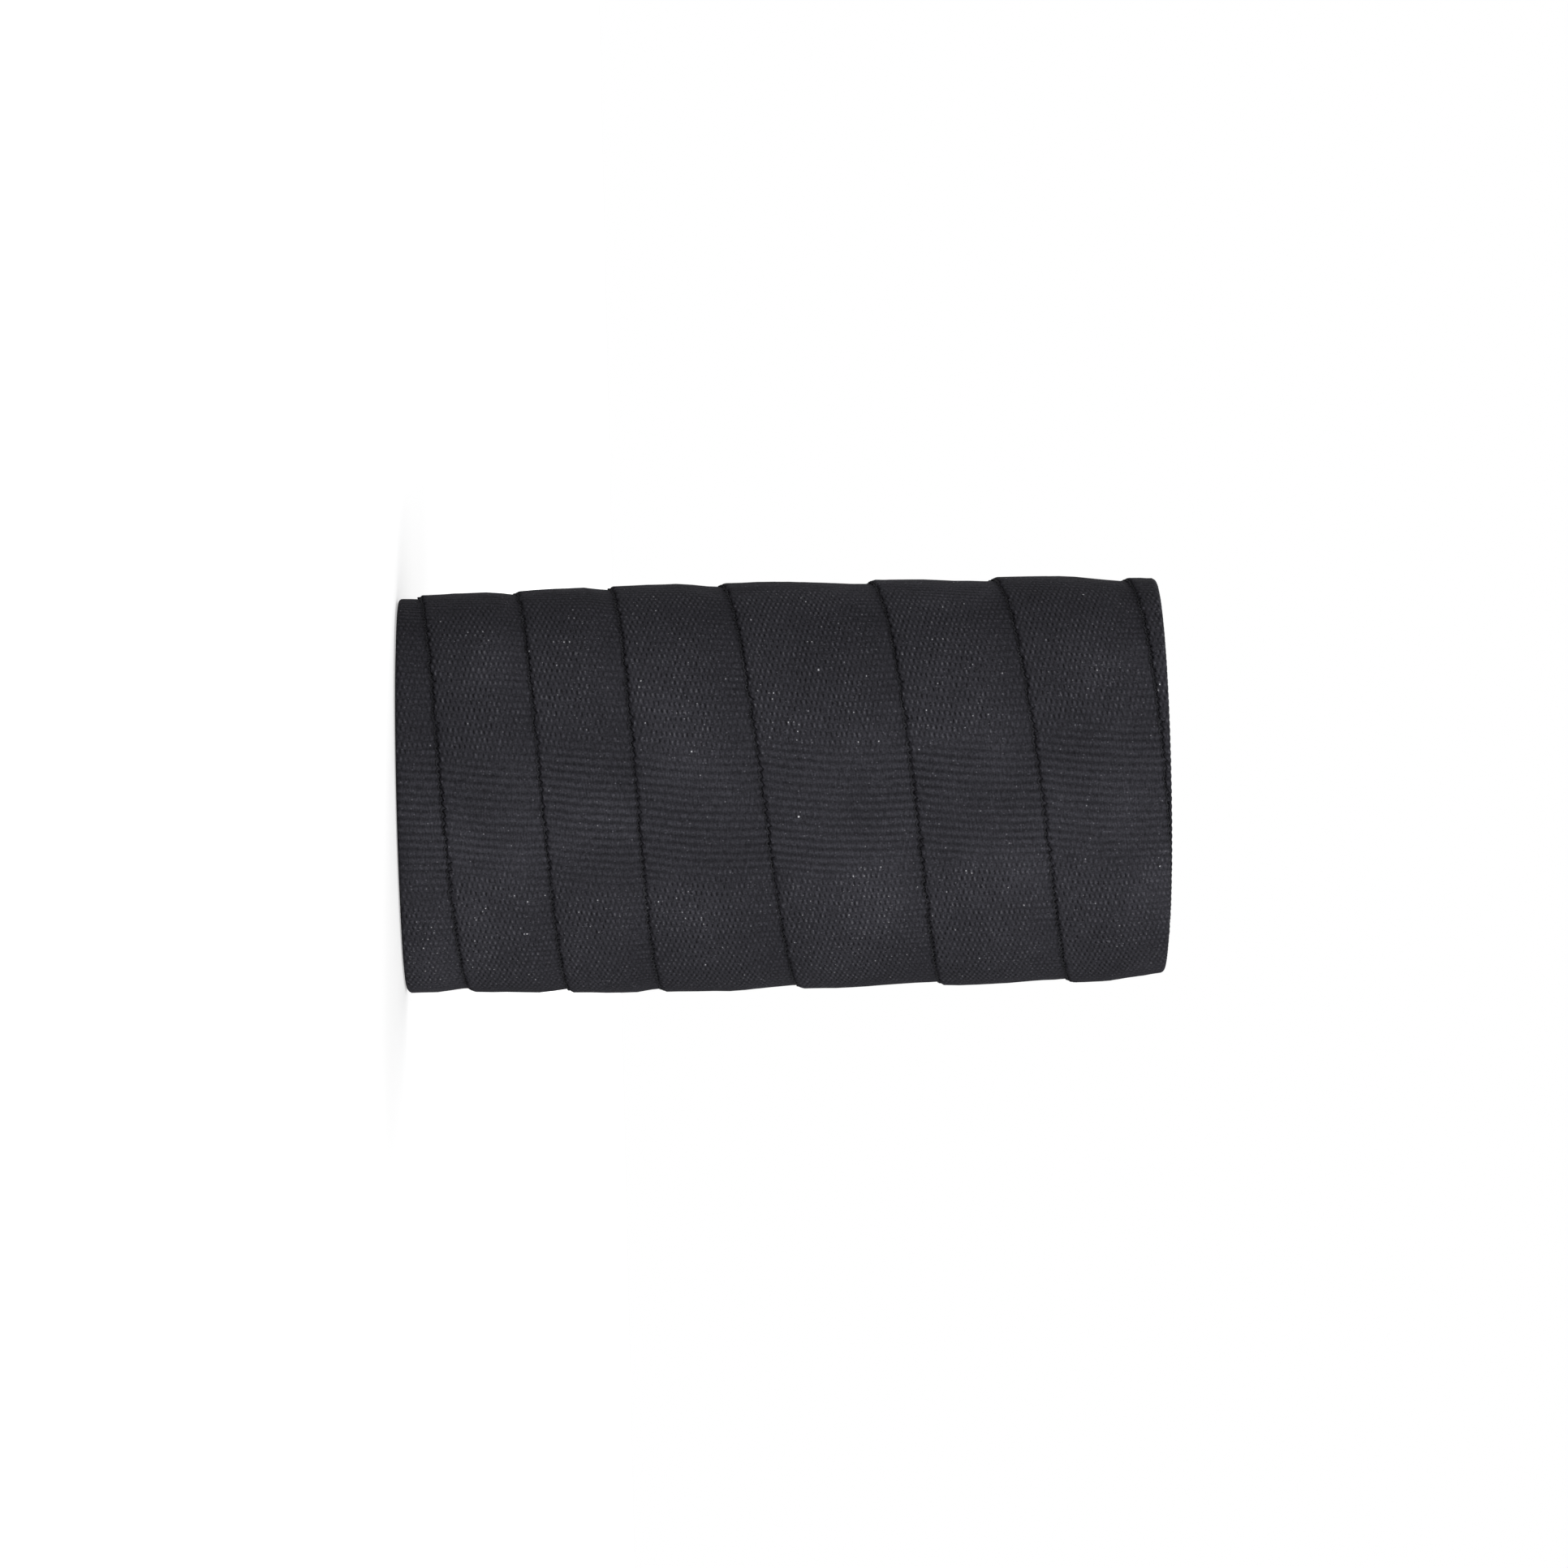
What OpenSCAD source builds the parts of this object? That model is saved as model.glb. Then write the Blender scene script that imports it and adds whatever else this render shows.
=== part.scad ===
// A section of a golf grip: a rubber sleeve for the shaft, an open spiral of
// double-sided adhesive tape, and a woven cloth tape wound over it in lapped turns.
// The grip stands on its lower end, with the bore along Z.

/* [Sleeve] */
// Length of the grip section
grip_l = 50; // [30:1:120]
// Diameter of the bore that the shaft is pressed into
bore_d = 15.24; // [12:0.02:18]
// Outside diameter of the sleeve at its lower end
sleeve_low_d = 23.8; // [21:0.1:30]
// Outside diameter of the sleeve at its upper end
sleeve_top_d = 24.1; // [21:0.1:30]
// Rounding of the sleeve's two outer rims
rim_r = 1; // [0.2:0.1:1.5]
// Chamfer at the two mouths of the bore
mouth_c = 0.6; // [0.2:0.1:1.5]

/* [Adhesive tape] */
// Width of the adhesive tape
adhesive_w = 19; // [8:0.5:30]
// Thickness of the adhesive tape
adhesive_t = 0.2; // [0.1:0.05:0.5]
// Bare strip between the turns of the adhesive tape
adhesive_gap = 0.8; // [0.5:0.1:4]
// Bare strip at each end of the sleeve
adhesive_end = 1; // [0.5:0.1:4]

/* [Cloth tape] */
// Width of the cloth tape from selvedge to selvedge
cloth_w = 10.5; // [9.5:0.1:14]
// Thickness of the cloth tape
cloth_t = 0.25; // [0.15:0.05:0.5]
// Height of the lower selvedge where the first whole turn starts
first_edge = 1.5; // [0:0.1:5]
// How far each turn laps the turn below, as wound by hand, over and over
turn_lap = [4.2, 4.3, 3.2, 0.7, 2.4, 1.8, 4.5];
// How far the selvedge dips half-way round each turn, over and over
turn_dip = [0.3, 0, 0.5, 0.2, 0, 0, 0.2];
// Longest slope by which a turn comes down off the turn below
slope_l = 7; // [0.5:0.5:12]

/* [Clearances] */
// Clearance between a tape and what it lies on
seat_gap = 0.08; // [0.05:0.01:0.3]
// Clearance between the lapped layers of the cloth tape
lap_gap = 0.42; // [0.41:0.01:0.8]

/* [Quality] */
// Flats in one turn of a tape
turn_flats = 36; // [24:4:48]

/* [Hidden] */
$fn = 96;
// The turns are counted from this angle, where the first whole turn starts
start_angle = 180;
// Corners stand this much further out than the middles of the flats
corner_out = 1 / cos(180 / turn_flats);
// Directions of the sleeve rims' arc points
rim_steps = [0:15:90];
// Points on each straight stretch of a section, for measuring the gap
measure_steps = 8;

adhesive_pitch = adhesive_w + adhesive_gap;
adhesive_lift = seat_gap;
cloth_lift = adhesive_lift + adhesive_t + seat_gap;
lap_lift = cloth_t + lap_gap;

// Sleeve radius at a height
function sleeve_r(z) = (sleeve_low_d + (sleeve_top_d - sleeve_low_d) * z / grip_l) / 2;

// Entry n of a list that starts again where it ends
function again(list, n) =
    let (count = len(list))
    list[((n % count) + count) % count];

// Lap of turn n + 1 over turn n
function lap_of(n) = again(turn_lap, n);

// Height of the cloth tape's lower selvedge after n whole turns
function whole_edge(n) =
    n == 0 ? first_edge
    : n > 0 ? whole_edge(n - 1) + cloth_w - lap_of(n - 1)
    : whole_edge(n + 1) - cloth_w + lap_of(n);

// The same after any number of turns, on a smooth curve through the whole ones
function cloth_edge(turn) =
    let (
        n = floor(turn),
        f = turn - n,
        low = whole_edge(n),
        high = whole_edge(n + 1),
        low_rate = (high - whole_edge(n - 1)) / 2,
        high_rate = (whole_edge(n + 2) - low) / 2
    )
    low * (1 + 2 * f) * (1 - f) ^ 2 + low_rate * f * (1 - f) ^ 2
    + high * (3 - 2 * f) * f ^ 2 - high_rate * (1 - f) * f ^ 2
    - again(turn_dip, n) * sin(180 * f) ^ 2;

// First and last whole turns whose edges lie outside the grip
function first_turn(n = 0) = whole_edge(n) + cloth_w < 0 ? n : first_turn(n - 1);
function last_turn(n = 0) = whole_edge(n) > grip_l ? n : last_turn(n + 1);

// Underside of the cloth tape across its width, as [height, lift off its seat]:
// raised over the turn below, down a slope, and flat to the upper selvedge
function cloth_underside(turn) =
    let (
        edge = cloth_edge(turn),
        over = cloth_edge(turn - 1) + cloth_w + lap_gap,
        next = cloth_edge(turn + 1),
        seat = min(over + slope_l, max(over, next - lap_gap))
    )
    [[edge, lap_lift], [over, lap_lift], [seat, 0], [edge + cloth_w, 0]];

// Underside of the adhesive tape across its width
function adhesive_underside(turn) =
    let (edge = adhesive_pitch * (turn - 1))
    [[edge, 0], [edge + adhesive_w, 0]];

// A tape's section as [radius, height]: its underside, then its outside going back
function tape_section(underside, lift, thick) =
    let (last = len(underside) - 1)
    [
        for (p = underside) [sleeve_r(p[0]) + lift + p[1], p[0]],
        for (i = [last:-1:0])
            let (p = underside[i])
            [sleeve_r(p[0]) + lift + p[1] + thick, p[0]]
    ];

function cloth_section(turn) = tape_section(cloth_underside(turn), cloth_lift, cloth_t);
function adhesive_section(turn) =
    tape_section(adhesive_underside(turn), adhesive_lift, adhesive_t);

// Points along an outline, close together
function close_points(outline) =
    [
        for (i = [0:len(outline) - 2], k = [0:measure_steps])
            outline[i] + (outline[i + 1] - outline[i]) * k / measure_steps
    ];

// Least distance between two sections in one plane through the axis
function section_gap(a, b) =
    min([for (p = close_points(a), q = close_points(b)) norm(p - q)]);

// Places, in turns, at which a tape has its sections
function tape_places(from, to) = [for (i = [from * turn_flats:to * turn_flats]) i / turn_flats];

cloth_places = tape_places(first_turn(), last_turn());
adhesive_places = tape_places(0, ceil(grip_l / adhesive_pitch) + 1);

echo(
    "least gap of the cloth tape to itself, mm",
    min([
        for (turn = cloth_places)
            if (turn >= first_turn() + 1)
                section_gap(cloth_section(turn - 1), cloth_section(turn))
    ])
);
echo(
    "least gap of the adhesive tape to itself, mm",
    min([
        for (turn = adhesive_places)
            if (turn >= 1)
                section_gap(adhesive_section(turn - 1), adhesive_section(turn))
    ])
);

// One unbroken strip through sections at the given places, all with as many points
module wound_strip(places, sections) {
    count = len(sections[0]);
    last = len(sections) - 1;
    points = [
        for (i = [0:last], p = sections[i])
            let (angle = start_angle + 360 * places[i])
            [p[0] * corner_out * cos(angle), p[0] * corner_out * sin(angle), p[1]]
    ];
    sides = [
        for (i = [0:last - 1], j = [0:count - 1])
            let (
                a = i * count + j,
                b = i * count + (j + 1) % count,
                c = b + count,
                d = a + count
            )
            each [[a, b, c], [a, c, d]]
    ];
    caps = [
        for (j = [0:count / 2 - 2])
            let (
                k = count - 1 - j,
                top = last * count
            )
            each [
                [j, k, k - 1],
                [j, k - 1, j + 1],
                [top + j, top + k - 1, top + k],
                [top + j, top + j + 1, top + k - 1]
            ]
    ];
    polyhedron(points = points, faces = concat(sides, caps));
}

// Everything between two heights
module slab(low, high) {
    side = sleeve_low_d + sleeve_top_d;
    translate([-side / 2, -side / 2, low])
        cube([side, side, high - low]);
}

// Moulded rubber sleeve with the bore for the shaft
module underlisting() {
    low_r = sleeve_r(0);
    top_r = sleeve_r(grip_l);
    color([0.11, 0.11, 0.12])
        rotate_extrude()
            polygon([
                [bore_d / 2, mouth_c],
                [bore_d / 2 + mouth_c, 0],
                for (a = rim_steps)
                    [low_r - rim_r + rim_r * sin(a), rim_r - rim_r * cos(a)],
                for (a = rim_steps)
                    [top_r - rim_r + rim_r * cos(a), grip_l - rim_r + rim_r * sin(a)],
                [bore_d / 2 + mouth_c, grip_l],
                [bore_d / 2, grip_l - mouth_c]
            ]);
}

// Double-sided tape in an open spiral, short of both rims
module adhesive_tape() {
    color([0.85, 0.80, 0.66])
        intersection() {
            wound_strip(adhesive_places, [for (t = adhesive_places) adhesive_section(t)]);
            slab(adhesive_end, grip_l - adhesive_end);
        }
}

// Woven tape in lapped turns, trimmed flush with both ends of the sleeve
module cloth_tape() {
    color([0.20, 0.20, 0.22])
        intersection() {
            wound_strip(cloth_places, [for (t = cloth_places) cloth_section(t)]);
            slab(0, grip_l);
        }
}

underlisting();
adhesive_tape();
cloth_tape();
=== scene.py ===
# %% [markdown]
# # A golf grip section wound with woven tape
# The real thing is a short rubber sleeve for a club's shaft, with a black woven tape
# wound round it in lapped turns and turned in over both rims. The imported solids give
# every size and place. This lesson dresses them: the tape with its ribs, selvedges and
# hand-wound laps, the film that holds it, and the rubber that shows at the ends.

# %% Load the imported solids
import math

import bpy
from mathutils import Matrix, Vector


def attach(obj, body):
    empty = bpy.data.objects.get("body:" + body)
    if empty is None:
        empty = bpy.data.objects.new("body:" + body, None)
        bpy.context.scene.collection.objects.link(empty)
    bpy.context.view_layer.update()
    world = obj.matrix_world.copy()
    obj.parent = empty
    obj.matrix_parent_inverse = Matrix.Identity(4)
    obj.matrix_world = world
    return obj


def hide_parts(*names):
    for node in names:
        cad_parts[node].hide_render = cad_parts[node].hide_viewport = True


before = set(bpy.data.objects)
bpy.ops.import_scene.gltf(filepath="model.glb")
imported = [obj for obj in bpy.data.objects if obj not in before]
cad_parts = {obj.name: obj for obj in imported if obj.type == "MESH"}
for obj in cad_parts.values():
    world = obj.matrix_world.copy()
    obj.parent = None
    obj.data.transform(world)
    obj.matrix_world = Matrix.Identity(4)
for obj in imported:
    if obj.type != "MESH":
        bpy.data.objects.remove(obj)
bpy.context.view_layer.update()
MM = 0.001

# %% [markdown]
# ## Camera
# The photograph looks at the side of the grip, level with its middle, and the grip
# lies across the picture: its axis runs to the right and a little up. The part itself
# stands on its end, so here the camera is turned on its side instead of the grip.

# %% Camera at the photograph's view
GRIP_L = 50 * MM
VIEW_DISTANCE = 545 * MM
VIEW_WIDTH = 103.2 * MM
VIEW_YAW = math.radians(0.76)
VIEW_ROLL = math.radians(1.3)
VIEW_AIM = Vector((-0.1 * MM, 0, GRIP_L / 2 + 0.16 * MM))
SENSOR_W = 36

looking = Vector((0, math.cos(VIEW_YAW), math.sin(VIEW_YAW)))
along_axis = Vector((0, -math.sin(VIEW_YAW), math.cos(VIEW_YAW)))
upward = Vector((-1, 0, 0))
right = along_axis * math.cos(VIEW_ROLL) - upward * math.sin(VIEW_ROLL)
above = upward * math.cos(VIEW_ROLL) + along_axis * math.sin(VIEW_ROLL)

camera_data = bpy.data.cameras.new("camera")
camera_data.sensor_width = SENSOR_W
camera_data.lens = SENSOR_W * VIEW_DISTANCE / VIEW_WIDTH
camera = bpy.data.objects.new("camera", camera_data)
turned = Matrix((right, above, -looking)).transposed()
camera.matrix_world = Matrix.Translation(VIEW_AIM - looking * VIEW_DISTANCE) @ turned.to_4x4()
bpy.context.collection.objects.link(camera)
bpy.context.scene.camera = camera
print("lens:", round(camera_data.lens, 1), "mm")

# %% [markdown]
# ## Writing node trees as formulas
# A node tree for a wound tape is mostly arithmetic. Wiring each Math node by hand
# hides the rule, so a small class lets a socket be added, multiplied and compared in
# Python, and every operation adds its node. The tree can still be opened and read.


# %% A socket that can be written in formulas
def add_node(tree, kind, inputs=None, **options):
    """Add a node, set its options, then link or set its inputs by name or place."""
    node = tree.nodes.new(kind)
    for name, value in options.items():
        setattr(node, name, value)
    live = [socket for socket in node.inputs if socket.enabled]
    for key, value in (inputs or {}).items():
        socket = live[key] if isinstance(key, int) else next(s for s in live if s.name == key)
        if isinstance(value, Field):
            tree.links.new(value.socket, socket)
        else:
            socket.default_value = value
    return node


def out(node, name=None):
    """A node's output as a field: the named one, or the first that is in use."""
    live = [socket for socket in node.outputs if socket.enabled]
    return Field(node.id_data, next(s for s in live if name in (None, s.name)))


class Field:
    """A socket of a node tree that formulas can be written with."""

    def __init__(self, tree, socket):
        self.tree = tree
        self.socket = socket

    def apply(self, operation, *values):
        """A Math node that works on the values, which are fields or numbers."""
        inputs = dict(enumerate(values))
        return out(add_node(self.tree, "ShaderNodeMath", inputs, operation=operation))

    def __add__(self, other):
        return self.apply("ADD", self, other)

    def __radd__(self, other):
        return self.apply("ADD", other, self)

    def __sub__(self, other):
        return self.apply("SUBTRACT", self, other)

    def __rsub__(self, other):
        return self.apply("SUBTRACT", other, self)

    def __mul__(self, other):
        return self.apply("MULTIPLY", self, other)

    def __rmul__(self, other):
        return self.apply("MULTIPLY", other, self)

    def __truediv__(self, other):
        return self.apply("DIVIDE", self, other)

    def __mod__(self, other):
        return self.apply("FLOORED_MODULO", self, other)

    def __gt__(self, other):
        return self.apply("GREATER_THAN", self, other)

    def __lt__(self, other):
        return self.apply("LESS_THAN", self, other)

    def floor(self):
        return self.apply("FLOOR", self)

    def sin(self):
        return self.apply("SINE", self)

    def cos(self):
        return self.apply("COSINE", self)

    def arctan2(self, other):
        return self.apply("ARCTAN2", self, other)

    def sign(self):
        return self.apply("SIGN", self)

    def power(self, exponent):
        return self.apply("POWER", self, exponent)

    def least(self, other):
        return self.apply("MINIMUM", self, other)

    def most(self, other):
        return self.apply("MAXIMUM", self, other)

    def between(self, low, high):
        return self.most(low).least(high)

    def smooth(self, start, end):
        """0 up to start, 1 from end on, and an S curve in between."""
        inputs = {"Value": self, "From Min": start, "From Max": end}
        node = add_node(
            self.tree, "ShaderNodeMapRange", inputs, interpolation_type="SMOOTHSTEP"
        )
        return out(node)

    def spread(self, low, high):
        """The low value where this is 0, the high value where it is 1."""
        return low + self * (high - low)


def vector(tree, x, y, z):
    return out(add_node(tree, "ShaderNodeCombineXYZ", {"X": x, "Y": y, "Z": z}))


print("formula helpers are ready")

# %% [markdown]
# ## Making a mesh from a tree
# Each tree gets its sizes as named inputs. The modifier finds an input by the socket's
# identifier, so the names are looked up once here. The finished shape is then taken
# as a plain mesh, because exported pieces can't carry a live modifier.


# %% New trees, and meshes from them
SOCKET_KINDS = {float: "NodeSocketFloat", int: "NodeSocketInt"}


def new_tree(name, sizes):
    """An empty tree with a named input for each size; returns it with the inputs."""
    tree = bpy.data.node_groups.new(name, "GeometryNodeTree")
    interface = tree.interface
    interface.new_socket("Geometry", in_out="INPUT", socket_type="NodeSocketGeometry")
    for label, value in sizes.items():
        kind = SOCKET_KINDS.get(type(value), "NodeSocketMaterial")
        interface.new_socket(label, in_out="INPUT", socket_type=kind)
    interface.new_socket("Geometry", in_out="OUTPUT", socket_type="NodeSocketGeometry")
    start = tree.nodes.new("NodeGroupInput")
    return tree, {socket.name: Field(tree, socket) for socket in start.outputs if socket.name}


def end_tree(tree, geometry, material):
    """Realize Instances, Set Material and the tree's output."""
    real = out(add_node(tree, "GeometryNodeRealizeInstances", {"Geometry": geometry}))
    dressed = out(
        add_node(tree, "GeometryNodeSetMaterial", {"Geometry": real, "Material": material})
    )
    add_node(tree, "NodeGroupOutput", {"Geometry": dressed})


def made_by(tree, sizes, name, points):
    """A plain mesh object from a tree that is run on the given points."""
    start = bpy.data.meshes.new(name + "_start")
    start.from_pydata(points, [], [])
    piece = bpy.data.objects.new(name, start)
    bpy.context.collection.objects.link(piece)
    modifier = piece.modifiers.new(tree.name, "NODES")
    modifier.node_group = tree
    for item in tree.interface.items_tree:
        if item.in_out == "INPUT" and item.name in sizes:
            modifier[item.identifier] = sizes[item.name]
    graph = bpy.context.evaluated_depsgraph_get()
    mesh = bpy.data.meshes.new_from_object(piece.evaluated_get(graph), depsgraph=graph)
    piece.modifiers.clear()
    piece.data = mesh
    mesh.name = name
    bpy.data.meshes.remove(start)
    mesh.calc_loop_triangles()
    print(name, "has", len(mesh.loop_triangles), "triangles")
    return piece


print("tree helpers are ready")

# %% [markdown]
# ## The path of the tape
# The turns were laid by hand, so their laps differ. The height of the lower selvedge
# follows the same rule as the solids: each whole turn rises by the tape's width less
# its lap, on a smooth curve through the whole turns. The heights become the points of
# a guide, with the turns along x and the height along y, which the trees read.

# %% Height of the lower selvedge
TAPE_W = 10.5 * MM
FIRST_EDGE = 1.5 * MM
TURN_LAP = [4.2, 4.3, 3.2, 0.7, 2.4, 1.8, 4.5]
TURN_DIP = [0.3, 0, 0.5, 0.2, 0, 0, 0.2]
GUIDE_STEPS = 120
GUIDE_TURNS = (-5, 10)
HALVINGS = 50


def whole_edge(n):
    if n == 0:
        return FIRST_EDGE
    if n > 0:
        return whole_edge(n - 1) + TAPE_W - TURN_LAP[(n - 1) % len(TURN_LAP)] * MM
    return whole_edge(n + 1) - TAPE_W + TURN_LAP[n % len(TURN_LAP)] * MM


def tape_edge(turn):
    n = math.floor(turn)
    f = turn - n
    low, high = whole_edge(n), whole_edge(n + 1)
    low_rate = (high - whole_edge(n - 1)) / 2
    high_rate = (whole_edge(n + 2) - low) / 2
    curve = low * (1 + 2 * f) * (1 - f) ** 2 + low_rate * f * (1 - f) ** 2
    curve += high * (3 - 2 * f) * f ** 2 - high_rate * (1 - f) * f ** 2
    return curve - TURN_DIP[n % len(TURN_DIP)] * MM * math.sin(math.pi * f) ** 2


def guide_points(edge):
    count = (GUIDE_TURNS[1] - GUIDE_TURNS[0]) * GUIDE_STEPS + 1
    turns = [GUIDE_TURNS[0] + i / GUIDE_STEPS for i in range(count)]
    return [(turn, edge(turn), 0) for turn in turns]


def cut_area(edge, width, trims, radius):
    """Area of a wound tape that is cut off at two heights, as it was when flat."""
    area = 0
    for turn, low, _ in guide_points(edge):
        first, last = [min(max(trim - low, 0), width) for trim in trims]
        area += (last - first) * math.tau * radius / GUIDE_STEPS
    return area


def turn_where(edge, height):
    """The turn at which a rising edge passes a height."""
    low, high = GUIDE_TURNS
    for _ in range(HALVINGS):
        half = (low + high) / 2
        low, high = (half, high) if edge(half) < height else (low, half)
    return low


print("selvedge at whole turns, mm:", [round(whole_edge(n) / MM, 2) for n in range(-2, 8)])

# %% [markdown]
# ## Where a point of a tape lies
# A tape is flat: a point on it has a place along it, a place across it and a height
# above its underside. Winding it is a change of coordinates. The place along becomes an
# angle, the place across is added to the selvedge's height, and past a rim the cloth
# follows a small arc and then runs inwards over the sleeve's end. The same class lays
# the cloth tape, the loops of its selvedge and the adhesive film. A drawn curve with a
# swept section would be quicker to set up, but its laps could not follow this rule.


# %% From flat tape to wound tape
QUARTER_TURN = math.pi / 2
START_ANGLE = math.pi
# Teeth of the selvedge: how fast their depth drifts from rib to rib, and its shares
TOOTH_DRIFT = 0.09
TOOTH_BACK = 0.3
TOOTH_DEPTH = 0.5
# The shortest slope off the turn below, in lap gaps
SHORT_SLOPE = 8
# Slow waves: how quickly they change round the grip, and the height of one
WAVES_ROUND = 2
WAVE_HEIGHT = 6 * MM


class Winding:
    """The formulas that wind a flat tape on the grip, in one tree."""

    def __init__(self, tree, size):
        self.tree = tree
        self.size = size
        position = out(add_node(tree, "GeometryNodeInputPosition"))
        self.guide_height = out(add_node(tree, "ShaderNodeSeparateXYZ", {0: position}), "Y")

    def edge(self, turn):
        """Height of the lower selvedge, read from the guide between its points."""
        place = (turn - GUIDE_TURNS[0]) * GUIDE_STEPS
        index = place.floor()
        low, high = [
            out(
                add_node(
                    self.tree,
                    "GeometryNodeSampleIndex",
                    {"Geometry": self.size["Geometry"], "Value": self.guide_height, "Index": i},
                    clamp=True,
                )
            )
            for i in (index, index + 1)
        ]
        return low + (high - low) * (place - index)

    def lay(self, turn, across):
        """Settle where a point lies before its height above the seat is known."""
        size = self.size
        side = across / size["Width"] * 2 - 1
        self.turn = turn + size["Skew"] * side + size["Bow"] * (side * side - 1)
        self.low = self.edge(self.turn)
        self.reach = self.low + across
        fold_low, fold_high = size["Fold Low"], size["Fold High"]
        arc = size["Fold Radius"] * QUARTER_TURN
        past = (fold_low - self.reach).most(self.reach - fold_high).most(0)
        self.bend = (past / arc).least(1) * QUARTER_TURN
        self.inward = (past - arc).most(0)
        self.end = (self.reach - (fold_low + fold_high) / 2).sign()
        self.straight = self.reach.between(fold_low, fold_high)
        self.flat = self.bend.sin()
        self.upright = self.bend.cos()

    def teeth(self, row):
        """How far the selvedge stands back in a row: one tooth a rib, of uneven depth."""
        size = self.size
        rib = row / size["Rows Per Rib"]
        along = vector(self.tree, rib * TOOTH_DRIFT, 0, 0)
        noise = out(add_node(self.tree, "ShaderNodeTexNoise", {"Vector": along}))
        uneven = noise.smooth(0.35, 0.65)
        return size["Fray"] * (uneven * TOOTH_BACK + rib % 1 * (TOOTH_DEPTH + uneven))

    def lapped(self):
        """1 where the tape lies on the turn below, 0 where it is down on its seat."""
        gap = self.size["Lap Gap"]
        top_below = self.edge(self.turn - 1) + self.size["Width"]
        bare = self.edge(self.turn + 1) - gap - top_below
        slope = bare.between(gap * SHORT_SLOPE, self.size["Slope"])
        return 1 - (self.reach - top_below).smooth(gap, slope)

    def crown(self):
        """A low arch over the width that the next turn leaves open."""
        seen = self.edge(self.turn + 1) - self.low
        share = ((self.reach - self.low) / seen).between(0, 1)
        return share * (1 - share) * 4 * self.size["Crown"]

    def waves(self):
        """Slow unevenness that all layers share, so that none cuts another."""
        angle = self.turn * math.tau
        where = vector(
            self.tree,
            angle.cos() * WAVES_ROUND,
            angle.sin() * WAVES_ROUND,
            self.straight / WAVE_HEIGHT,
        )
        noise = out(add_node(self.tree, "ShaderNodeTexNoise", {"Vector": where, "Detail": 1}))
        return (noise - 0.5) * self.size["Waves"]

    def seat(self):
        """Radius that the tape lies on: a straight taper that falls off to both ends."""
        size = self.size
        level = size["Seat Radius"] + size["Taper"] * self.straight
        low = 1 - self.straight.smooth(0, size["Low Reach"])
        high = self.straight.smooth(GRIP_L - size["High Reach"], GRIP_L)
        return level - size["Low Dip"] * low - size["High Dip"] * high

    def position(self, lift):
        """The place in space of a point with a height above the seat."""
        radius = self.seat() + lift * self.upright - self.inward
        height = self.straight + self.end * lift * self.flat
        angle = self.turn * math.tau + START_ANGLE
        return vector(self.tree, radius * angle.cos(), radius * angle.sin(), height)


print("winding rule is ready")

# %% [markdown]
# ## The tree of a wound tape
# The tape starts as a flat grid: its columns go once round the tape's section, over
# the outside and back along the inside, and its rows go along the tape. Set Position
# then winds it. Three rows make one crosswise rib, so the ribs are real relief and each
# ends in a tooth at the selvedge. Columns that a row has no use for fall on one point
# and are merged. The mesh also keeps its weave as a UV map, and how far each point is
# from the selvedge of the next turn, for its finish to read.

# %% Columns round the section of a tape
# The zones of the outside: lip, turned-in part, lower rim, body, upper rim, turned-in part.
ZONES = (2, 2, 4, 10, 4, 2)
OUTER = sum(ZONES)
INNER = OUTER // 2
SECTION = OUTER + INNER + 2
# How far the edge's fray and curl reach in, in widths of the lip
EDGE_LIPS = 4


def place_across(k, breaks):
    """Place across the tape of the k-th column, with the zones' limits given."""
    place = breaks[0]
    start = 0
    for count, low, high in zip(ZONES, breaks, breaks[1:]):
        place = place + ((k - start) / count).between(0, 1) * (high - low)
        start += count
    return place


def section_breaks(size, edge, fray):
    """Limits of the zones in a row whose lower selvedge has the given height."""
    arc = size["Fold Radius"] * QUARTER_TURN
    last = (size["Trim High"] - edge).between(0, size["Width"])
    first = (size["Trim Low"] - edge).between(0, size["Width"])
    first = first + fray * ((last - first) / (size["Lip"] * EDGE_LIPS)).least(1)
    lip = (first + size["Lip"]).least(last)
    breaks = [first, lip]
    fold_low, fold_high = size["Fold Low"], size["Fold High"]
    for height in (fold_low - arc, fold_low, fold_high, fold_high + arc):
        breaks.append((height - edge).between(breaks[-1], last))
    return breaks + [last]


print("columns round a section:", SECTION)

# %% The tree of a wound tape
# How much of a lap's rise is pressed flat where the cloth is turned in
PRESSED = 0.7
MERGE_DISTANCE = 0.0001 * MM
SHARP_TURN = math.radians(50)


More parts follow.
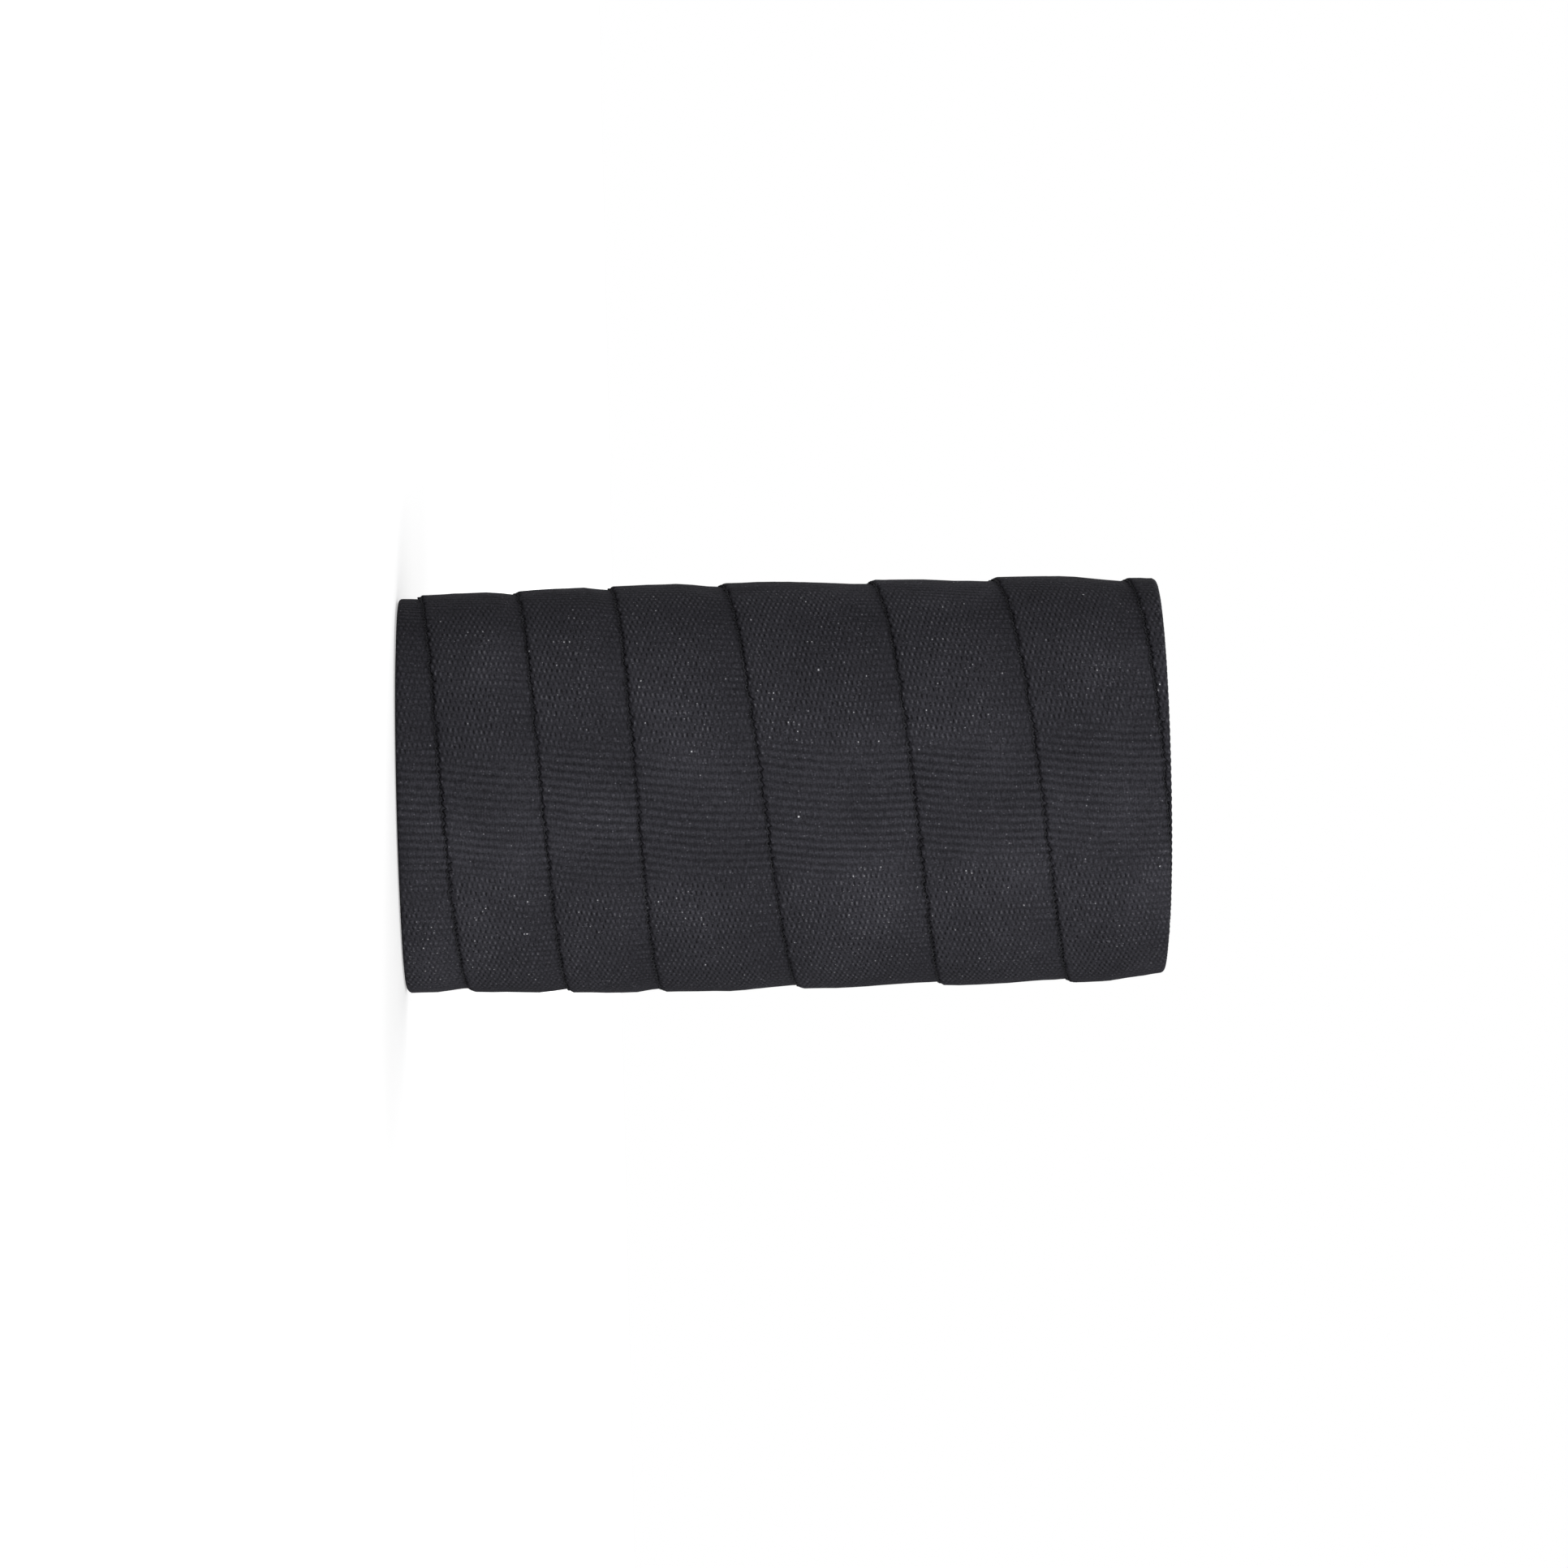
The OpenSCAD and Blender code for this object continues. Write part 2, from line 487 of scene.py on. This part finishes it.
def wound_tape_tree(sizes):
    tree, size = new_tree("Wound tape", sizes)
    winding = Winding(tree, size)
    rows = size["Rows"] + 1
    grid = add_node(tree, "GeometryNodeMeshGrid", {"Vertices X": SECTION + 1, "Vertices Y": rows})
    index = out(add_node(tree, "GeometryNodeInputIndex"))
    column = (index / rows).floor()
    row = index - column * rows
    column = column % SECTION
    inside = column > OUTER + 0.5
    # The inside's columns go back again, and each passes two of the outside's places
    k = column + inside * (3 * OUTER + 2 - column * 3)

    turn = size["First Turn"] + row / size["Rows Per Turn"]
    breaks = section_breaks(size, winding.edge(turn), winding.teeth(row))
    across = place_across(k, breaks)
    winding.lay(turn, across)
    layer = size["Rise"] * winding.lapped() * (1 - winding.flat * PRESSED)
    curl = size["Edge Curl"] * (1 - across.smooth(0, size["Lip"] * EDGE_LIPS))
    under = layer + (winding.crown() + winding.waves() + curl) * winding.upright.power(2)
    valley = size["Rib Depth"] * ((row % size["Rows Per Rib"]) < 0.5)
    whole = ((breaks[-1] - breaks[0]) / size["Lip"]).least(1)
    rounding = size["Lip Drop"] * (1 - k / ZONES[0]).most(0).power(2) * whole
    lift = under + (1 - inside) * (size["Thickness"] - valley - rounding)

    wound = out(
        add_node(
            tree,
            "GeometryNodeSetPosition",
            {"Geometry": out(grid, "Mesh"), "Position": winding.position(lift)},
        )
    )
    weave = vector(tree, across / size["Warp Pitch"], row / size["Rows Per Rib"] + 0.5, 0)
    on_points = add_node(
        tree, "GeometryNodeFieldOnDomain", {0: weave}, domain="POINT", data_type="FLOAT_VECTOR"
    )
    next_row = (winding.turn + 1 + size["Skew"] - size["First Turn"]) * size["Rows Per Turn"]
    next_edge = winding.edge(winding.turn + 1) + winding.teeth(next_row) - winding.reach
    marked = stored(tree, wound, "next_edge", next_edge, "POINT", "FLOAT")
    marked = stored(tree, marked, "weave", out(on_points), "CORNER", "FLOAT2")
    merged = out(
        add_node(
            tree, "GeometryNodeMergeByDistance", {"Geometry": marked, "Distance": MERGE_DISTANCE}
        )
    )
    outwards = out(add_node(tree, "GeometryNodeFlipFaces", {"Mesh": merged}))
    end_tree(tree, softened(tree, outwards), size["Material"])
    return tree


def stored(tree, geometry, name, value, domain, kind):
    """The geometry with a value kept on it under a name, for its material to read."""
    node = add_node(tree, "GeometryNodeStoreNamedAttribute", domain=domain, data_type=kind)
    node.inputs["Name"].default_value = name
    tree.links.new(geometry.socket, node.inputs["Geometry"])
    tree.links.new(value.socket, node.inputs["Value"])
    return out(node)


def softened(tree, mesh):
    """Smooth shading, with an edge kept sharp where its faces turn by a wide angle."""
    smooth = out(add_node(tree, "GeometryNodeSetShadeSmooth", {"Geometry": mesh}, domain="FACE"))
    turns = out(add_node(tree, "GeometryNodeInputMeshEdgeAngle"), "Unsigned Angle")
    sharp = turns > SHARP_TURN
    return out(
        add_node(
            tree,
            "GeometryNodeSetShadeSmooth",
            {"Geometry": smooth, "Selection": sharp, "Shade Smooth": False},
            domain="EDGE",
        )
    )


print("zones across the outside:", ZONES)

# %% [markdown]
# ## Black woven cloth
# The tape is a close, warp-faced weave: fine lengthwise ends pass over thick crosswise
# picks, which show as ribs, and neighbouring ends alternate, so the points between the
# floats sit like bricks; their darkness is painted shade. The UV map counts ends and ribs,
# so the weave follows the cloth round the grip. Bump alone would be cheaper, but would
# lose the painted dark points; single threads as meshes would look right, but take
# millions of faces. The finish is built as one value, the tone, which ends in a ramp of
# colours.


# %% Helpers for finishes
def new_material(name, roughness, specular):
    """A material with its shader, whose constant finish is set on the shader itself."""
    material = bpy.data.materials.new(name)
    material.use_nodes = True
    shader = material.node_tree.nodes["Principled BSDF"]
    shader.inputs["Roughness"].default_value = roughness
    shader.inputs["Specular IOR Level"].default_value = specular
    return material, material.node_tree, shader


def noise(tree, where, scale, detail=2.0):
    return out(
        add_node(tree, "ShaderNodeTexNoise", {"Vector": where, "Scale": scale, "Detail": detail})
    )


def ramp(tree, value, *stops):
    """Colours along a value, given as (place, (red, green, blue))."""
    node = add_node(tree, "ShaderNodeValToRGB", {"Fac": value})
    elements = node.color_ramp.elements
    while len(elements) < len(stops):
        elements.new(0.5)
    for element, (place, colour) in zip(elements, stops):
        element.position = place
        element.color = (*colour, 1)
    return out(node, "Color")


def bump(tree, shader, height, distance):
    node = add_node(tree, "ShaderNodeBump", {"Height": height, "Distance": distance})
    tree.links.new(out(node).socket, shader.inputs["Normal"])


print("finish helpers are ready")

# %% Threads of the weave
# Waves of unevenness in a metre of cloth, for each thing that varies
PER_M = {
    "ends": 900,
    "ribs": 650,
    "bands": 130,
    "shade": 160,
    "clouds": 110,
    "grain": 8000,
    "grooves": 330,
    "clusters": 260,
    "seam line": 1500,
    "seam depth": 300,
}
# How far the threads stray from their places, in threads
END_STRAY = 0.7
RIB_STRAY = 0.4

cloth, tree, shader = new_material("woven_cloth", 0.9, 0.03)
place = out(add_node(tree, "ShaderNodeTexCoord"), "Object")
weave = add_node(tree, "ShaderNodeUVMap", uv_map="weave")
counted = add_node(tree, "ShaderNodeSeparateXYZ", {0: out(weave)})
end = out(counted, "X") + (noise(tree, place, PER_M["ends"]) - 0.5) * END_STRAY
rib = out(counted, "Y") + (noise(tree, place, PER_M["ribs"]) - 0.5) * RIB_STRAY
pick = (rib * math.pi).cos()
over = (end * math.pi).cos() * pick
# The low points between the floats, darkened below as painted shade
pit_shade = (0 - over).smooth(0.2, 0.9)
# The tops of the floats, brightened below as painted highlights
top = over.smooth(0.25, 1)
# The grooves between the ribs, darkened below as painted shade
groove = 1 - pick * pick
cell = vector(tree, (end + 0.5).floor(), (rib + 0.5).floor(), 0)
chance = out(add_node(tree, "ShaderNodeTexWhiteNoise", {"Vector": cell}, noise_dimensions="2D"))
print("threads are counted by the UV map", weave.uv_map)

# %% [markdown]
# In bands along the grip the grooves between the ribs get more painted shade, and fine
# fibres show on them. Between these bands the dark points get more painted shade, the
# floats get painted highlights and the bump is deeper. Next to the edge of the turn
# above, the painted points and highlights are weaker.

# %% Bands of painted light and relief
BAND_COUNT = 4
BAND_ANGLE = 5.85
BAND_STRAY = 0.5

seam = out(add_node(tree, "ShaderNodeAttribute", attribute_name="next_edge"), "Fac")
axes = add_node(tree, "ShaderNodeSeparateXYZ", {0: place})
stray = noise(tree, place, PER_M["bands"]) * BAND_STRAY
angle = out(axes, "Y").arctan2(out(axes, "X")) + stray
# A mask round the grip: where it is high, the low points get more painted shade, the floats painted
# highlights, and the bump is deeper
painted_light_and_relief_bands = ((angle - BAND_ANGLE) * BAND_COUNT).cos().smooth(-0.75, 0.1)
painted_light_and_relief_bands = painted_light_and_relief_bands * seam.smooth(0.5 * MM, 3.5 * MM).spread(0.45, 1)
print("bands of painted light and relief:", BAND_COUNT)

# %% Tone of the threads
MEAN_TONE = 0.388
FLOAT_LIMIT = 0.74
# Waves in the tone of the fibres, across one end and along one rib
FIBRES = (1.7, 0.9)

tone = MEAN_TONE * noise(tree, place, PER_M["shade"]).spread(0.7, 1.3)
tone = tone * noise(tree, place, PER_M["clouds"], 3.0).smooth(0.5, 0.75).spread(1, 1.3)
tone = tone * noise(tree, place, PER_M["grain"], 3.0).spread(0.1, 1.9)
fibres = noise(tree, vector(tree, end * FIBRES[0], rib * FIBRES[1], 0), 1.0)
tone = tone * (1 + (fibres - 0.5) * painted_light_and_relief_bands.spread(1.2, 0.3))
# Painted shade in the grooves between the ribs, more of it outside the bands
groove_shade = 0.15 + noise(tree, place, PER_M["grooves"]) * 0.5 - painted_light_and_relief_bands * 0.25
tone = tone * (1 - groove * groove_shade)
# Painted shade in the low points between the floats, more of it within the bands
tone = tone * (1 - pit_shade * chance.spread(0.5, 1) * painted_light_and_relief_bands.spread(0.15, 0.75))
# Painted highlights on the tops of the floats, within the bands
tone = (tone * (1 + top * (chance - 0.1) * painted_light_and_relief_bands)).least(FLOAT_LIMIT)
print("mean tone:", MEAN_TONE)

# %% [markdown]
# Some floats get painted glints, in clusters, and fine painted sparks of light lie among
# them. Bits of dust and lint lie on the cloth. The sparks and the lint are points that a
# Voronoi texture strews at random.


# %% Shine and lint
GLINT = 0.08
SPARK = 0.5
SPARKS_PER_M = 5200.0
LINT = 0.8
LINT_PER_M = 430.0
LINT_FROM = 0.8


def strewn(tree, place, per_metre):
    """Points strewn at random: the luck of the nearest, 0 to 1, and how far off it is."""
    points = add_node(tree, "ShaderNodeTexVoronoi", {"Vector": place, "Scale": per_metre})
    luck = out(add_node(tree, "ShaderNodeSeparateColor", {0: out(points, "Color")}), "Red")
    return luck, out(points, "Distance")


clusters = noise(tree, place, PER_M["clusters"]).smooth(0.4, 0.65) * painted_light_and_relief_bands.spread(0.3, 1)
# Painted glints on the tops of some floats, in clusters
tone = tone + chance.smooth(0.75, 1) * over.smooth(0.65, 1) * clusters * GLINT
# Painted sparks of light, more of them in the clusters
luck, distance = strewn(tree, place, SPARKS_PER_M)
shine = luck.smooth(0.85 - clusters * 0.6, 1) * (1 - distance.smooth(0.1, 0.4))
tone = tone + shine * SPARK
luck, distance = strewn(tree, place, LINT_PER_M)
lint = (luck > LINT_FROM) * (1 - distance.smooth(0.015, 0.05)) * LINT
print("sparks and lint are strewn")

# %% [markdown]
# Under the edge of the next turn lies a narrow, jagged painted shade, and the grooves
# between the ribs get painted shade where they end in the tape's own selvedge. The lint
# lies on top of all this.

# %% Painted shade at the selvedges, and the colour
SEAM_WIDTH = 0.18 * MM
SEAM_JAG = 0.35
NOTCH_SHADE = 0.4
NOTCH_SHADE_ENDS = (1, 2.8)
WEAVE_RELIEF = 0.03 * MM

jagged = (noise(tree, place, PER_M["seam line"]) - 0.4) * SEAM_JAG * MM
depth = noise(tree, place, PER_M["seam depth"]).smooth(0.35, 0.65).spread(0.25, 0.75)
# Painted shade along the edge of the next turn
tone = tone * (1 - (1 - seam.smooth(jagged, jagged + SEAM_WIDTH)) * depth)
# Painted shade in the grooves next to the tape's own selvedge
tone = tone * (1 - (1 - end.smooth(*NOTCH_SHADE_ENDS)) * groove * NOTCH_SHADE)
tone = tone + lint
colour = ramp(
    tree,
    tone,
    (0.0, (0.0, 0.0, 0.0)),
    (0.66, (0.060, 0.059, 0.070)),
    (0.9, (0.14, 0.14, 0.15)),
    (1.0, (0.50, 0.50, 0.52)),
)
tree.links.new(colour.socket, shader.inputs["Base Color"])
bump(tree, shader, over * painted_light_and_relief_bands.spread(0.25, 1), WEAVE_RELIEF)
print("made", cloth.name)

# %% [markdown]
# ## Cloth tape
# The tape is 10.5 mm wide and about a fifth of a millimetre thick. Each turn starts on
# top of the turn below, comes down off it, and goes under the next turn. At both ends
# the cloth is turned in over the sleeve's rim, where the winding is a little thinner.
# The rows of the grid are counted from the turn where the tape comes in at the lower
# rim to the turn where it leaves the upper.

# %% Wind the cloth tape
TAPE_T = 0.22 * MM
SEAT = 12.92 * MM
RIBS_PER_TURN = 160
ROWS_PER_RIB = 3
FOLD = 0.36 * MM
TURNED_IN = 1.5 * MM

rows_per_turn = RIBS_PER_TURN * ROWS_PER_RIB
trim_low, trim_high = FOLD - TURNED_IN, GRIP_L - FOLD + TURNED_IN
start_row = math.floor(turn_where(tape_edge, trim_low - TAPE_W) * rows_per_turn)
end_row = math.ceil(turn_where(tape_edge, trim_high) * rows_per_turn)

cloth_sizes = {
    "Rows": end_row - start_row,
    "Rows Per Turn": rows_per_turn,
    "Rows Per Rib": ROWS_PER_RIB,
    "First Turn": start_row / rows_per_turn,
    "Width": TAPE_W,
    "Thickness": TAPE_T,
    "Seat Radius": SEAT,
    "Taper": 0.0,
    "Low Dip": 0.35 * MM,
    "Low Reach": 18 * MM,
    "High Dip": 0.3 * MM,
    "High Reach": 6 * MM,
    "Trim Low": trim_low,
    "Trim High": trim_high,
    "Fold Low": FOLD,
    "Fold High": GRIP_L - FOLD,
    "Fold Radius": 0.3 * MM,
    "Rise": 0.24 * MM,
    "Lap Gap": 0.1 * MM,
    "Slope": 7 * MM,
    "Crown": 0.04 * MM,
    "Waves": 0.12 * MM,
    "Skew": 0.003,
    "Bow": -0.0038,
    "Rib Depth": 0.05 * MM,
    "Lip": 0.12 * MM,
    "Lip Drop": 0.07 * MM,
    "Edge Curl": 0.02 * MM,
    "Fray": 0.28 * MM,
    "Warp Pitch": 0.165 * MM,
    "Material": cloth,
}
tape_tree = wound_tape_tree(cloth_sizes)
woven_tape = made_by(tape_tree, cloth_sizes, "woven_tape", guide_points(tape_edge))
tape_length = cloth_sizes["Rows"] / rows_per_turn * math.tau * SEAT
tape_area = cut_area(tape_edge, TAPE_W, (trim_low, trim_high), SEAT)
print("tape length, m:", round(tape_length, 3), "cut area, m2:", round(tape_area, 5))

# %% [markdown]
# ## Selvedge loops
# A narrow tape comes off a loom that lays each crosswise pick as a doubled thread, so
# each rib ends in a small loop at the edge. On the grip the loops and the teeth of the
# ribs, with the painted shade beside them, make the dark, uneven line along each turn.
# Each loop is the same bent thread, put on the tip of a tooth by the same winding formulas
# and turned to lie on the cloth, with its own length by chance. Painting the line alone
# would leave the edge smooth in outline.

# %% The finish of the selvedge thread
thread_finish, tree, shader = new_material("selvedge_thread", 0.9, 0.05)
place = out(add_node(tree, "ShaderNodeTexCoord"), "Object")
colour = ramp(
    tree,
    noise(tree, place, 900),
    (0.3, (0.016, 0.016, 0.018)),
    (0.7, (0.040, 0.040, 0.045)),
)
tree.links.new(colour.socket, shader.inputs["Base Color"])
bump(tree, shader, noise(tree, place, 12000), 0.02 * MM)
print("made", thread_finish.name)


# %% The tree of the selvedge loops
LOOP_POINTS = 7
THREAD_SIDES = 5
# Shares of the loops' length and width that chance may give
LOOP_LENGTHS = (0.5, 1.3)
LOOP_WIDTHS = (0.8, 1.25)
# The slope of the selvedge is taken over this much of a turn to both sides
SLOPE_STEP = 0.02


def thread_loop(tree, size):
    """One loop of thread, bent out from the selvedge along -Y."""
    bend = add_node(
        tree,
        "GeometryNodeCurveArc",
        {
            "Resolution": LOOP_POINTS,
            "Radius": size["Loop Width"] / 2,
            "Start Angle": math.pi,
            "Sweep Angle": math.pi,
        },
    )
    profile = add_node(
        tree,
        "GeometryNodeCurvePrimitiveCircle",
        {"Resolution": THREAD_SIDES, "Radius": size["Thread"] / 2},
    )
    tube = add_node(
        tree,
        "GeometryNodeCurveToMesh",
        {"Curve": out(bend), "Profile Curve": out(profile), "Fill Caps": True},
    )
    return out(tube)


def chance_between(tree, low, high, seed):
    node = add_node(tree, "FunctionNodeRandomValue", {"Min": low, "Max": high, "Seed": seed})
    return out(node)


def selvedge_tree(sizes):
    tree, size = new_tree("Selvedge loops", sizes)
    winding = Winding(tree, size)
    line = add_node(tree, "GeometryNodeMeshLine", {"Count": size["Loops"]})
    index = out(add_node(tree, "GeometryNodeInputIndex"))
    seed = size["Seed"]
    row = size["First Row"] + index * size["Rows Per Rib"]
    turn = size["First Turn"] + row / size["Rows Per Turn"]
    winding.lay(turn, winding.teeth(row))
    layer = size["Rise"] * winding.lapped() * (1 - winding.flat * PRESSED)
    lift = layer + size["Thread"] / 2 + (winding.crown() + winding.waves()) * winding.upright
    shown = (winding.reach > size["Trim Low"]) * (winding.reach < size["Trim High"])
    points = add_node(
        tree,
        "GeometryNodeSetPosition",
        {"Geometry": out(line), "Position": winding.position(lift)},
    )
    angle = winding.turn * math.tau + START_ANGLE
    before, after = winding.edge(winding.turn - SLOPE_STEP), winding.edge(winding.turn + SLOPE_STEP)
    climb = (after - before) / (size["Seat Radius"] * (2 * SLOPE_STEP * math.tau))
    outward = vector(
        tree,
        winding.upright * angle.cos(),
        winding.upright * angle.sin(),
        winding.end * winding.flat,
    )
    along = vector(tree, 0 - angle.sin(), angle.cos(), climb * winding.upright)
    turned = add_node(
        tree,
        "FunctionNodeAxesToRotation",
        {"Primary Axis": outward, "Secondary Axis": along},
        primary_axis="Z",
        secondary_axis="X",
    )
    length = chance_between(tree, *LOOP_LENGTHS, seed)
    width = chance_between(tree, *LOOP_WIDTHS, seed + 1)
    pulled = vector(tree, width, size["Loop Reach"] / size["Loop Width"] * 2 * length, 1)
    loops = add_node(
        tree,
        "GeometryNodeInstanceOnPoints",
        {
            "Points": out(points),
            "Selection": shown,
            "Instance": thread_loop(tree, size),
            "Rotation": out(turned),
            "Scale": pulled,
        },
    )
    end_tree(tree, out(loops), size["Material"])
    return tree


print("selvedge rule is ready")

# %% Sew the loops along the selvedge
hidden_rows = turn_where(tape_edge, trim_low) * rows_per_turn - start_row
first_loop = math.ceil(hidden_rows / ROWS_PER_RIB) * ROWS_PER_RIB
loop_sizes = {
    **cloth_sizes,
    "First Row": first_loop,
    "Loops": (end_row - start_row - first_loop) // ROWS_PER_RIB,
    "Loop Width": 0.38 * MM,
    "Loop Reach": 0.12 * MM,
    "Thread": 0.12 * MM,
    "Seed": 7,
    "Material": thread_finish,
}
selvedge_loops = made_by(
    selvedge_tree(loop_sizes), loop_sizes, "selvedge_loops", guide_points(tape_edge)
)

# %% [markdown]
# ## Adhesive film
# Under the cloth a double-sided film holds the tape to the sleeve, wound in an open
# spiral with a bare strip between its turns. It is the same kind of object as the cloth
# tape, a flat strip that is wound, so the same tree makes it, with no laps and no ribs.

# %% The finish of the film
film_finish, tree, shader = new_material("adhesive_film", 0.35, 0.5)
place = out(add_node(tree, "ShaderNodeTexCoord"), "Object")
colour = ramp(
    tree,
    noise(tree, place, 400),
    (0.3, (0.52, 0.45, 0.31)),
    (0.7, (0.66, 0.60, 0.46)),
)
tree.links.new(colour.socket, shader.inputs["Base Color"])
bump(tree, shader, noise(tree, place, 2500), 0.02 * MM)
print("made", film_finish.name)

# %% Wind the film
FILM_W = 19 * MM
FILM_GAP = 0.8 * MM
FILM_END = 1 * MM
FILM_SEAT = (11.98 * MM, 12.13 * MM)
FILM_ROWS_PER_TURN = 120


def film_edge(turn):
    return (FILM_W + FILM_GAP) * (turn - 1)


film_start = math.floor(turn_where(film_edge, FILM_END - FILM_W) * FILM_ROWS_PER_TURN)
film_end = math.ceil(turn_where(film_edge, GRIP_L - FILM_END) * FILM_ROWS_PER_TURN)
film_sizes = {
    **cloth_sizes,
    "Rows": film_end - film_start,
    "Rows Per Turn": FILM_ROWS_PER_TURN,
    "First Turn": film_start / FILM_ROWS_PER_TURN,
    "Width": FILM_W,
    "Thickness": 0.2 * MM,
    "Seat Radius": FILM_SEAT[0],
    "Taper": (FILM_SEAT[1] - FILM_SEAT[0]) / GRIP_L,
    "Trim Low": FILM_END,
    "Trim High": GRIP_L - FILM_END,
    "Material": film_finish,
}
film_sizes.update(
    dict.fromkeys(
        ("Low Dip", "High Dip", "Rise", "Crown", "Waves", "Skew", "Bow", "Rib Depth")
        + ("Edge Curl", "Fray"),
        0.0,
    )
)
adhesive_film = made_by(tape_tree, film_sizes, "adhesive_film", guide_points(film_edge))
film_radius = sum(FILM_SEAT) / 2
film_length = film_sizes["Rows"] / FILM_ROWS_PER_TURN * math.tau * film_radius
film_area = cut_area(film_edge, FILM_W, (FILM_END, GRIP_L - FILM_END), film_radius)
print("film length, m:", round(film_length, 3), "cut area, m2:", round(film_area, 5))

# %% [markdown]
# ## Rubber sleeve
# The sleeve's solid has the right shape, so it stays and only gets a finish: black
# moulded rubber, dull, with a fine grain from the mould and a little grey bloom.

# %% The finish of the rubber
rubber, tree, shader = new_material("moulded_rubber", 0.7, 0.2)
place = out(add_node(tree, "ShaderNodeTexCoord"), "Object")
bloom = noise(tree, place, 220, 4.0)
colour = ramp(
    tree,
    bloom,
    (0.3, (0.012, 0.012, 0.013)),
    (0.75, (0.03, 0.03, 0.032)),
)
tree.links.new(colour.socket, shader.inputs["Base Color"])
tree.links.new(bloom.spread(0.62, 0.82).socket, shader.inputs["Roughness"])
bump(tree, shader, noise(tree, place, 3500, 3.0), 0.03 * MM)
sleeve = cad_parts["underlisting"]
sleeve.data.materials.clear()
sleeve.data.materials.append(rubber)
print("made", rubber.name)

# %% [markdown]
# ## Floor and light
# The photograph has a pure white ground and very even light, a little stronger from the
# front. A wide softbox stands in front, another behind and weaker ones beside and
# overhead, in a white room. The floor is white to the camera, and its glow is weak near
# the grip, so that the shadow stays.


# %% White room and floor
def seen_directly(tree):
    """1 for rays from the camera and through gloss or glass, 0 for light on the object."""
    path = add_node(tree, "ShaderNodeLightPath")
    rays = [out(path, f"Is {kind} Ray") for kind in ("Camera", "Glossy", "Transmission")]
    return rays[0].most(rays[1]).most(rays[2])


ROOM_LIGHT = 0.18
world = bpy.data.worlds.new("white_room")
bpy.context.scene.world = world
world.use_nodes = True
tree = world.node_tree
background = tree.nodes["Background"]
background.inputs["Color"].default_value = (1, 1, 1, 1)
strength = seen_directly(tree).spread(ROOM_LIGHT, 1)
tree.links.new(strength.socket, background.inputs["Strength"])

FLOOR_SIDE = 4.0
# The floor's glow next to the grip, and the distances over which it rises to white
NEAR_GLOW = 0.45
GLOW_RISE = (0.05, 0.6)
floor_mesh = bpy.data.meshes.new("floor")
half = FLOOR_SIDE / 2
floor_mesh.from_pydata(
    [(-half, -half, 0), (half, -half, 0), (half, half, 0), (-half, half, 0)], [], [(0, 1, 2, 3)]
)
floor = bpy.data.objects.new("floor", floor_mesh)
bpy.context.collection.objects.link(floor)
paper, tree, shader = new_material("white_paper", 0.9, 0.1)
shader.inputs["Base Color"].default_value = (0.8, 0.8, 0.8, 1)
place = out(add_node(tree, "ShaderNodeTexCoord"), "Object")
far = out(add_node(tree, "ShaderNodeVectorMath", {0: place}, operation="LENGTH"), "Value")
strength = far.smooth(*GLOW_RISE).spread(NEAR_GLOW, 1)
glow = add_node(tree, "ShaderNodeEmission", {"Color": (1, 1, 1, 1), "Strength": strength})
mixed = add_node(tree, "ShaderNodeAddShader", {0: out(glow), 1: Field(tree, shader.outputs[0])})
chosen = add_node(
    tree,
    "ShaderNodeMixShader",
    {0: seen_directly(tree), 1: Field(tree, shader.outputs[0]), 2: out(mixed)},
)
tree.links.new(out(chosen).socket, tree.nodes["Material Output"].inputs["Surface"])
floor_mesh.materials.append(paper)
print("made", world.name, "and", floor.name)


# %% Softboxes
# Place, side and power of each, in metres and watts
SOFTBOXES = {
    "front_softbox": ((0.125, -0.65, 0.25), 0.45, 3.95),
    "side_softbox": ((0.8, -0.2, 0.3), 0.5, 0.1),
    "back_softbox": ((-0.3, 0.7, 0.4), 0.6, 3.2),
    "top_softbox": ((0.1, -0.1, 0.9), 0.7, 1.5),
}
middle = Vector((0, 0, GRIP_L / 2))


def softbox(name, place, side, watts):
    lamp = bpy.data.lights.new(name, "AREA")
    lamp.size = side
    lamp.energy = watts
    box = bpy.data.objects.new(name, lamp)
    box.location = place
    aim = middle - Vector(place)
    box.rotation_euler = aim.to_track_quat("-Z", "Y").to_euler()
    bpy.context.collection.objects.link(box)


for name, (place, side, watts) in SOFTBOXES.items():
    softbox(name, place, side, watts)
bpy.context.scene.view_settings.view_transform = "Standard"
print("made", ", ".join(SOFTBOXES))

# %% [markdown]
# ## What each piece is
# Every piece rides on the grip's one body. The tape and the film were cut flat and then
# wound tight; their lengths and the areas left once the slanting ends are cut off are
# printed where they are wound. The plain solids of the cloth tape and the adhesive tape
# are hidden, and these pieces take their place.

for piece in (woven_tape, selvedge_loops, adhesive_film):
    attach(piece, "root")
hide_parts("cloth_tape")
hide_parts("adhesive_tape")
